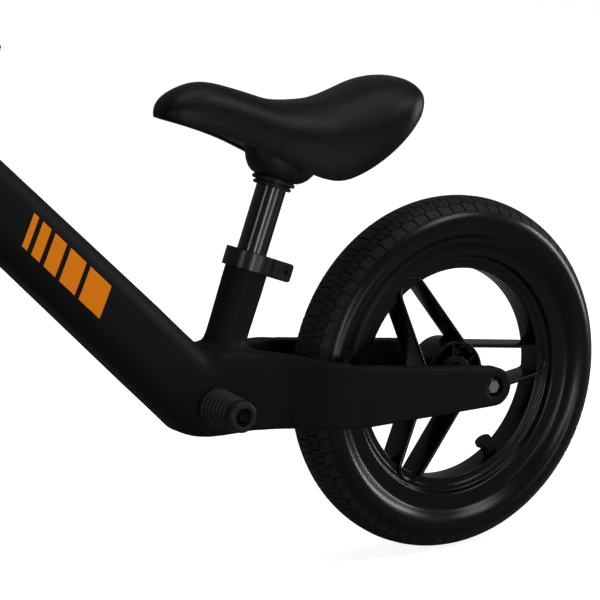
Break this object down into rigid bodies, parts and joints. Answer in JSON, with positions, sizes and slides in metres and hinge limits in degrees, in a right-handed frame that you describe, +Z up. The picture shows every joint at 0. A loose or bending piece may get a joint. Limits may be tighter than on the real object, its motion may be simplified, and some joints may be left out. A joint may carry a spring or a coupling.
{
  "type": "balance bike",
  "caption": "Child's balance bike with a cast frame, looped-spoke cast wheels, pneumatic tyres, padded saddle on a sliding post and fixed footpegs.",
  "frame": {"origin": "on the ground, half-way between the two axles, in the bike's middle plane (bottom centre of its box)", "axes": "+X forward, +Y to the rider's left, +Z up"},
  "size_m": [0.92, 0.408, 0.5871],
  "materials": {
    "frame_paint": "matte",
    "wheel_paint": "gloss",
    "post_paint": "gloss",
    "clamp_paint": "satin",
    "tyre": "matte",
    "butyl": "matte",
    "steel": "satin",
    "black_steel": "satin",
    "bearing_steel": "polished",
    "moulded": "matte",
    "cover": "satin",
    "grip": "matte"
  },
  "bodies": {
    "frame": {"frame": "frame_paint", "seat_clamp_collar": "clamp_paint", "seat_clamp_bolt": "black_steel", "seat_clamp_nut": "black_steel", "footpeg_left": "grip", "footpeg_right": "grip", "footpeg_bolts": "steel", "headset_lower_cup": "clamp_paint", "headset_lower_bearing": "bearing_steel", "headset_upper_cup": "clamp_paint", "headset_upper_bearing": "bearing_steel", "rear_bearing_inner_races": "bearing_steel", "rear_axle": "steel", "rear_axle_spacers": "black_steel", "rear_axle_washers": "steel", "rear_axle_bolts": "steel"},
    "rear_wheel": {"rear_wheel": "wheel_paint", "rear_tyre": "tyre", "rear_inner_tube": "butyl", "rear_valve_stem": "steel", "rear_valve_cap": "moulded", "rear_bearing_outer_races": "bearing_steel", "rear_bearing_balls": "bearing_steel"},
    "steering": {"fork": "frame_paint", "headset_crown_race": "bearing_steel", "headset_top_cap": "clamp_paint", "handlebar_clamp_collar": "clamp_paint", "handlebar_clamp_bolt": "black_steel", "handlebar_clamp_nut": "black_steel", "front_bearing_inner_races": "bearing_steel", "front_axle": "steel", "front_axle_spacers": "black_steel", "front_axle_washers": "steel", "front_axle_bolts": "steel"},
    "front_wheel": {"front_wheel": "wheel_paint", "front_tyre": "tyre", "front_inner_tube": "butyl", "front_valve_stem": "steel", "front_valve_cap": "moulded", "front_bearing_outer_races": "bearing_steel", "front_bearing_balls": "bearing_steel"},
    "handlebar": {"handlebar_stem": "clamp_paint", "stem_cap": "clamp_paint", "stem_bolts": "black_steel", "handlebar": "post_paint", "grip_left": "grip", "grip_right": "grip"},
    "seat": {"seat_post": "post_paint", "saddle_neck": "moulded", "saddle_pan": "moulded", "saddle_cover": "cover"}
  },
  "joints": [
    {"name": "rear_wheel_spin", "type": "hinge", "parent": "frame", "child": "rear_wheel", "pos_m": [-0.305, 0, 0.155], "axis": [0, 1, 0], "continuous": true},
    {"name": "steering_turn", "type": "hinge", "parent": "frame", "child": "steering", "pos_m": [0.29091, 0, 0.14987], "axis": [-0.342, 0, 0.9397], "range_deg": [-60, 60]},
    {"name": "front_wheel_spin", "type": "hinge", "parent": "steering", "child": "front_wheel", "pos_m": [0.305, 0, 0.155], "axis": [0, 1, 0], "continuous": true},
    {"name": "handlebar_height", "type": "slide", "parent": "steering", "child": "handlebar", "axis": [-0.342, 0, 0.9397], "range_m": [-0.03, 0.03]},
    {"name": "seat_height", "type": "slide", "parent": "frame", "child": "seat", "axis": [-0.3535, 0, 0.9354], "range_m": [-0.05, 0.02]}
  ]
}
